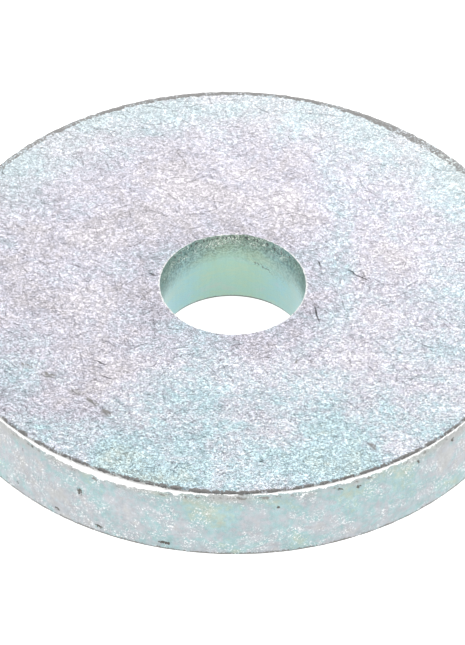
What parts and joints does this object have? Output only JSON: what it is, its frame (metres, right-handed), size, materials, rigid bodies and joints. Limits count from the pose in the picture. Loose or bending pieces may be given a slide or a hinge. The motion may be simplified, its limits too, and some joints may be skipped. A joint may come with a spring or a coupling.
{
  "type": "flat washer",
  "caption": "Thick round flat washer of zinc-plated steel with a small central bolt hole, which spreads a bolt's clamping load.",
  "frame": {"origin": "centre of the lower face, on the washer's axis", "axes": "+Z along the bore, from the lower bearing face to the upper face; X and Y lie in the plane of the disc"},
  "size_m": [0.0444, 0.0444, 0.0063],
  "materials": {
    "zinc_plated_steel": "bright clear zinc plate over rolled steel, faintly blue-green and lavender, with a fine rolled grain and tumbling marks"
  },
  "bodies": {
    "root": {"washer_disc": "zinc_plated_steel"}
  },
  "joints": []
}
